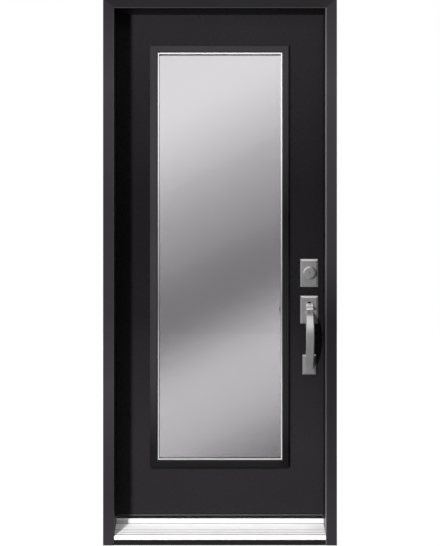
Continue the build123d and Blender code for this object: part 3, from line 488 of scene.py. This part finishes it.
def pane_glass(name, with_painted_reflection):
    """Clear pane. The outer one carries the soft grey slanting cloud that the photograph's glass shows, a
    reflection painted into what the pane lets through.

    A mix of clear and gloss takes the place of the Principled shader, which stays beside it, unlinked.
    Its Fresnel is told on which side of the glass it is, so that a slanting view through the pane isn't
    wholly reflected.
    """
    material, tree = new_shader(name)
    position = place(tree)
    ripple = noise(tree, position, scale=3.0)
    feed(
        tree,
        Base_Color=GLASS_BODY,
        Roughness=0.0,
        Transmission_Weight=1.0,
        IOR=GLASS_INDEX,
        Normal=bump(tree, ripple, 0.0002, 0.3),
    )
    clear = add(tree, "ShaderNodeBsdfTransparent")
    gloss = add(tree, "ShaderNodeBsdfGlossy", {"Roughness": GLASS_GLOSS, "Color": (1, 1, 1, 1)})
    leaving = add(tree, "ShaderNodeNewGeometry").outputs["Backfacing"]
    index = spread(tree, leaving, GLASS_INDEX, 1 / GLASS_INDEX, 0.0, 1.0)
    fresnel = add(tree, "ShaderNodeFresnel", {"IOR": index})
    if with_painted_reflection:
        # Painted reflection: a slanting grey cloud coloured into what the pane lets through
        parts = add(tree, "ShaderNodeSeparateXYZ", {"Vector": position})
        slanted = combine(tree, "MULTIPLY", parts.outputs["X"], PAINTED_REFLECTION_SLANT)
        level = combine(tree, "SUBTRACT", parts.outputs["Z"], slanted)
        share = spread(tree, level, 0.0, 1.0, PAINTED_REFLECTION_LOW, PAINTED_REFLECTION_HIGH)
        cloud = ramp(tree, share, [
            ((height - PAINTED_REFLECTION_LOW) / (PAINTED_REFLECTION_HIGH - PAINTED_REFLECTION_LOW), painted_reflection_colour(value)) for height, value in PAINTED_REFLECTION_STOPS
        ], "CARDINAL")
        put(tree, clear.inputs["Color"], cloud)
    else:
        put(tree, clear.inputs["Color"], GLASS_CLEAR)
    mix = add(tree, "ShaderNodeMixShader", {
        0: fresnel.outputs[0], 1: clear.outputs[0], 2: gloss.outputs[0],
    })
    tree.links.new(mix.outputs[0], tree.nodes["Material Output"].inputs["Surface"])
    return material


materials = {
    "frame_paint": satin_paint("frame_paint", FRAME_BLACK, 0.34, 0.4, FRAME_PAINTED_SHEEN),
    "sill_substrate": composite(),
    "sill_aluminium": sill_aluminium(),
    "seal_foam": foam("seal_foam", (0.004, 0.004, 0.004), (0.008, 0.008, 0.008), 1400.0, 0.0001),
    "door_paint": satin_paint("door_paint", DOOR_BLACK, 0.28, 0.35, SLAB_PAINTED_SHEEN),
    "lite_frame": lite_moulding(),
    "core_foam": foam("core_foam", (0.72, 0.63, 0.42), (0.82, 0.74, 0.52), 900.0, 0.0003, 0.9),
    "stile_wood": softwood(),
    "clear_glass": pane_glass("clear_glass", False),
    "spacer_metal": brushed("spacer_metal", (0.90, 0.90, 0.91), 0.3, 0.3, lines=500.0),
    "sweep_vinyl": foam(
        "sweep_vinyl", (0.004, 0.004, 0.004), (0.007, 0.007, 0.007), 700.0, 0.00005, 0.6, SWEEP_PAINTED_HIGHLIGHT_SPAN),
    "satin_nickel": brushed("satin_nickel", (0.68, 0.665, 0.67), 0.32, 0.80),
}

# Pieces whose finish differs a little from the rest of their slot, mostly by painted light: a painted
# reflection on the outer pane, painted highlights and painted shade on the jambs and casings, and a painted
# highlight along the thumb lever's lip
special = {
    "outer_glass": pane_glass("clear_glass_painted_reflection", True),
    "hinge_jamb": satin_paint("hinge_jamb_paint_painted_shade", FRAME_BLACK, 0.4, 0.4, FRAME_PAINTED_SHEEN, HINGE_JAMB_PAINTED_SHADE),
    "latch_jamb": satin_paint("latch_jamb_paint_painted_shade", FRAME_BLACK, 0.4, 0.4, FRAME_PAINTED_SHEEN, LATCH_JAMB_PAINTED_SHADE),
    "head_casing": satin_paint("head_casing_paint_painted_light", FRAME_BLACK, 0.34, 0.4, HEAD_CASING_PAINTED_SHADE, HEAD_CASING_PAINTED_LIGHT),
    "left_casing": satin_paint("left_casing_paint_painted_light", FRAME_BLACK, 0.34, 0.4, FRAME_PAINTED_SHEEN, LEFT_CASING_PAINTED_LIGHT),
    "right_casing": satin_paint("right_casing_paint_painted_highlight", FRAME_BLACK, 0.34, 0.4, RIGHT_CASING_PAINTED_SHEEN, RIGHT_CASING_PAINTED_HIGHLIGHT),
    "thumb_lever": thumb_nickel_painted_highlight(),
}

for part in frame["record"]["subparts"]:
    name = part["node"]
    data = frame["nodes"][name].data
    data.materials.clear()
    data.materials.append(special.get(name, materials[part["material_slot"]]))


# Piece building


def wall(mesh, first, second):
    """Quads between two closed loops of as many vertices."""
    for step in range(len(first)):
        following = (step + 1) % len(first)
        mesh.faces.new((first[step], first[following], second[following], second[step]))


def add_piece(name, mesh, slot, body, material=None):
    """Makes a piece of a bmesh, with its finish and the body that it rides on."""
    bmesh.ops.recalc_face_normals(mesh, faces=mesh.faces)
    data = bpy.data.meshes.new(name)
    mesh.to_mesh(data)
    mesh.free()
    piece = bpy.data.objects.new(name, data)
    scene.collection.objects.link(piece)
    data.materials.append(material or materials[slot])
    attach(piece, body)


def middle(node):
    """The centre of a node's box."""
    low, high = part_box(node)
    return (Vector(low) + Vector(high)) / 2


# Small fasteners


def screw_heads(name, places, radius, body):
    """Countersunk cross-recess screw heads in one mesh. places holds (centre, outward direction) pairs."""
    mesh = bmesh.new()
    arm, reach = radius * RECESS_ARM, radius * RECESS_SHARE
    top = SCREW_RISE * SCREW_RINGS[-1][1]
    cross = [
        (reach, -arm), (reach, arm), (arm, arm), (arm, reach), (-arm, reach), (-arm, arm),
        (-reach, arm), (-reach, -arm), (-arm, -arm), (-arm, -reach), (arm, -reach), (arm, -arm),
    ]
    circle = [
        (math.cos(2 * math.pi * step / SCREW_SIDES), math.sin(2 * math.pi * step / SCREW_SIDES))
        for step in range(SCREW_SIDES)
    ]
    for centre, outward in places:
        turn = Vector((0, 0, 1)).rotation_difference(Vector(outward)).to_matrix().to_4x4()
        matrix = Matrix.Translation(centre) @ turn

        def ring(points, share, height):
            return [mesh.verts.new(matrix @ Vector((x * share, y * share, height))) for x, y in points]

        rings = [ring(circle, radius, -SCREW_SUNK * radius)]
        rings += [ring(circle, radius * share, SCREW_RISE * height) for share, height in SCREW_RINGS]
        for lower, upper in zip(rings, rings[1:]):
            wall(mesh, lower, upper)
        mesh.faces.new(list(reversed(rings[0])))
        rim = ring(cross, 1.0, top)
        bottom = ring(cross, RECESS_TAPER, top - RECESS_DEPTH * radius)
        wall(mesh, bottom, rim)
        mesh.faces.new(bottom)
        edges = []
        for loop in (rings[-1], rim):
            edges += [mesh.edges.get(ends) for ends in zip(loop, loop[1:] + loop[:1])]
        bmesh.ops.triangle_fill(mesh, edges=edges, use_beauty=True)
    add_piece(name, mesh, "satin_nickel", body)


def hinge_screws(half, inward, body):
    """Four screws in each leaf of the three hinges, in a staggered row."""
    places = []
    for level in LEVELS:
        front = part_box(f"{level}_{half}_hinge")[0][1]
        centre_height = middle(f"{level}_door_hinge").z
        places.extend(
            (Vector((HINGE_FACE[half], front + offset, centre_height + rise)), (inward, 0, 0))
            for rise, offset in zip(HINGE_SCREW_LEVELS, HINGE_SCREW_OFFSETS)
        )
    screw_heads(f"{half}_hinge_screws", places, HINGE_SCREW_RADIUS, body)


def pair_of_screws(nodes, offset, side, drop):
    """Places for one screw above and one below the middle of each plate, on its low or high X side."""
    places = []
    for node in nodes:
        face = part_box(node)[0 if side < 0 else 1][0] - side * drop
        centre = middle(node)
        for rise in (-offset, offset):
            places.append((Vector((face, centre.y, centre.z + rise)), (side, 0, 0)))
    return places


def rose_screws(nodes):
    """Places for one screw near the top and one near the foot of each plate's inside face."""
    places = []
    for node in nodes:
        low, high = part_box(node)
        for height in (low[2] + ROSE_SCREW_INSET, high[2] - ROSE_SCREW_INSET):
            places.append((Vector((middle(node).x, high[1], height)), (0, 1, 0)))
    return places


hinge_screws("frame", 1, "frame")
hinge_screws("door", -1, "door")
screw_heads(
    "strike_screws", pair_of_screws(("deadbolt_strike", "latch_strike"), STRIKE_SCREW_OFFSET, -1, 0.0),
    PLATE_SCREW_RADIUS, "frame")
screw_heads(
    "faceplate_screws",
    pair_of_screws(("deadbolt_unit", "latch_unit"), FACEPLATE_SCREW_OFFSET, 1, FACEPLATE_SLOPE_DROP),
    FACEPLATE_SCREW_RADIUS, "door")
screw_heads(
    "inner_rose_screws", rose_screws(("inner_deadbolt_rose", "inner_handle_rose")), ROSE_SCREW_RADIUS, "door")
screw_heads(
    "sill_cap_screws",
    [(Vector((x, CAP_SCREW_DEPTH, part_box("sill_cap")[1][2])), (0, 0, 1)) for x in CAP_SCREW_PLACES],
    CAP_SCREW_RADIUS, "frame")


# Thin trim


def glazing_bead():
    """A mitred ring round the outer pane, pale as a painted highlight on the pane's edge, its tone changing
    with height as painted reflection.
    """
    mesh = bmesh.new()
    corners = []
    for side, end in ((-1, -1), (1, -1), (1, 1), (-1, 1)):
        corners.append([
            mesh.verts.new((side * (SIGHT_HALF - inset), y, SIGHT_MIDDLE + end * (SIGHT_TALL - inset)))
            for inset, y in BEAD_PROFILE
        ])
    for index, here in enumerate(corners):
        wall(mesh, here, corners[(index + 1) % len(corners)])
    satin = satin_paint("bead_painted_highlight", BEAD_PAINTED_HIGHLIGHT_GREY, 0.4, 0.4, BEAD_PAINTED_REFLECTION)
    add_piece("glazing_bead", mesh, "spacer_metal", "door", satin)


def long_strip(name, profile, half, slot, body):
    """A bar along X with the given (y, z) profile, from -half to half."""
    mesh = bmesh.new()
    ends = [[mesh.verts.new((side * half, y, z)) for y, z in profile] for side in (-1, 1)]
    wall(mesh, *ends)
    for end in ends:
        mesh.faces.new(end)
    add_piece(name, mesh, slot, body)


glazing_bead()
# Black strips standing in for shade: painted shade under the sweep's lip and a painted shadow under the lite
# frame
long_strip("sill_painted_shadow_strip", SILL_SHADOW_STRIP_PROFILE, SILL_SHADOW_STRIP_HALF, "seal_foam", "frame")
long_strip("lite_painted_shadow_strip", LITE_SHADOW_STRIP_PROFILE, LITE_SHADOW_STRIP_HALF, "seal_foam", "door")


# Studio


def studio_world():
    """White behind the object, a dark room for gloss and a soft fill for diffuse faces."""
    world = bpy.data.worlds.new("studio")
    world.use_nodes = True
    tree = world.node_tree
    tree.nodes.clear()
    path = add(tree, "ShaderNodeLightPath")
    direction = add(tree, "ShaderNodeTexCoord").outputs["Generated"]
    parts = add(tree, "ShaderNodeSeparateXYZ", {"Vector": direction})
    across, inward, height = (parts.outputs[axis] for axis in "XYZ")
    facing = add(
        tree, "ShaderNodeVectorMath", {0: direction, 1: ROOM_AXIS}, operation="DOT_PRODUCT").outputs["Value"]
    steep = combine(tree, "MULTIPLY", combine(tree, "ABSOLUTE", height), ROOM_FLATNESS)
    room = spread(
        tree, combine(tree, "SUBTRACT", facing, steep), GLOSS_WHITE, ROOM_DARK, ROOM_OUTER, ROOM_INNER,
        smooth=True)
    above = spread(tree, height, FILL_LOW, FILL_HIGH, FILL_START, FILL_END, smooth=True)
    left = spread(tree, across, 0.0, LEFT_FILL, -LEFT_START, -LEFT_END, smooth=True)
    behind = spread(tree, inward, 0.0, BACK_FILL, BACK_START, BACK_END, smooth=True)
    fill = combine(tree, "ADD", combine(tree, "ADD", above, left), behind)
    mirrored = combine(tree, "MAXIMUM", path.outputs["Is Glossy Ray"], path.outputs["Is Transmission Ray"])
    unseen = add(tree, "ShaderNodeMix", {0: mirrored, 2: fill, 3: room})
    level = add(tree, "ShaderNodeMix", {0: path.outputs["Is Camera Ray"], 2: unseen.outputs[0], 3: WHITE})
    background = add(tree, "ShaderNodeBackground", {"Color": (1, 1, 1, 1), "Strength": level.outputs[0]})
    output = add(tree, "ShaderNodeOutputWorld")
    tree.links.new(background.outputs[0], output.inputs["Surface"])
    scene.world = world


def studio_floor():
    """Plain pale floor that glows to the camera and still takes the object's shadow."""
    material = bpy.data.materials.new("studio_floor")
    material.use_nodes = True
    tree = material.node_tree
    tree.nodes.clear()
    path = add(tree, "ShaderNodeLightPath")
    depth = along(tree, place(tree), "Y")
    seen = combine(tree, "MAXIMUM", path.outputs["Is Camera Ray"], path.outputs["Is Transmission Ray"])
    gloss = spread(tree, depth, FLOOR_GLOSS_FAR, FLOOR_GLOSS_NEAR, FLOOR_FAR, FLOOR_NEAR, smooth=True)
    glow = combine(
        tree, "MAXIMUM", combine(tree, "MULTIPLY", seen, FLOOR_GLOW),
        combine(tree, "MULTIPLY", path.outputs["Is Glossy Ray"], gloss))
    emission = add(tree, "ShaderNodeEmission", {"Strength": glow})
    matt = add(tree, "ShaderNodeBsdfDiffuse", {
        "Color": mixed(tree, path.outputs["Is Glossy Ray"], FLOOR_COLOUR, FLOOR_MIRRORED),
    })
    both = add(tree, "ShaderNodeAddShader", {0: emission.outputs[0], 1: matt.outputs[0]})
    output = add(tree, "ShaderNodeOutputMaterial")
    tree.links.new(both.outputs[0], output.inputs["Surface"])
    data = bpy.data.meshes.new("studio_floor")
    corners = [(x * FLOOR_HALF, y * FLOOR_HALF, 0) for x, y in ((-1, -1), (1, -1), (1, 1), (-1, 1))]
    data.from_pydata(corners, [], [(0, 1, 2, 3)])
    data.materials.append(material)
    floor = bpy.data.objects.new("studio_floor", data)
    scene.collection.objects.link(floor)


def key_light():
    """A tall soft box to the left, in front of the door."""
    data = bpy.data.lights.new("key", "AREA")
    data.shape = "RECTANGLE"
    data.size, data.size_y = KEY_SIZE
    data.energy = KEY_POWER
    light = bpy.data.objects.new("key", data)
    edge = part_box("left_casing")[1][0]
    light.location = (
        edge - KEY_DISTANCE * math.sin(KEY_ANGLE), -KEY_DISTANCE * math.cos(KEY_ANGLE), KEY_HEIGHT)
    light.rotation_euler = (Vector(KEY_AIM) - light.location).to_track_quat("-Z", "Y").to_euler()
    light.visible_camera = False
    light.visible_glossy = False
    scene.collection.objects.link(light)


def camera():
    """The photograph's view, level and along Y."""
    data = bpy.data.cameras.new("camera")
    data.lens = CAMERA_LENS
    data.sensor_width = CAMERA_SENSOR
    seer = bpy.data.objects.new("camera", data)
    seer.location = CAMERA_PLACE
    seer.rotation_euler = (math.pi / 2, 0, 0)
    scene.collection.objects.link(seer)
    scene.camera = seer


studio_world()
studio_floor()
key_light()
camera()
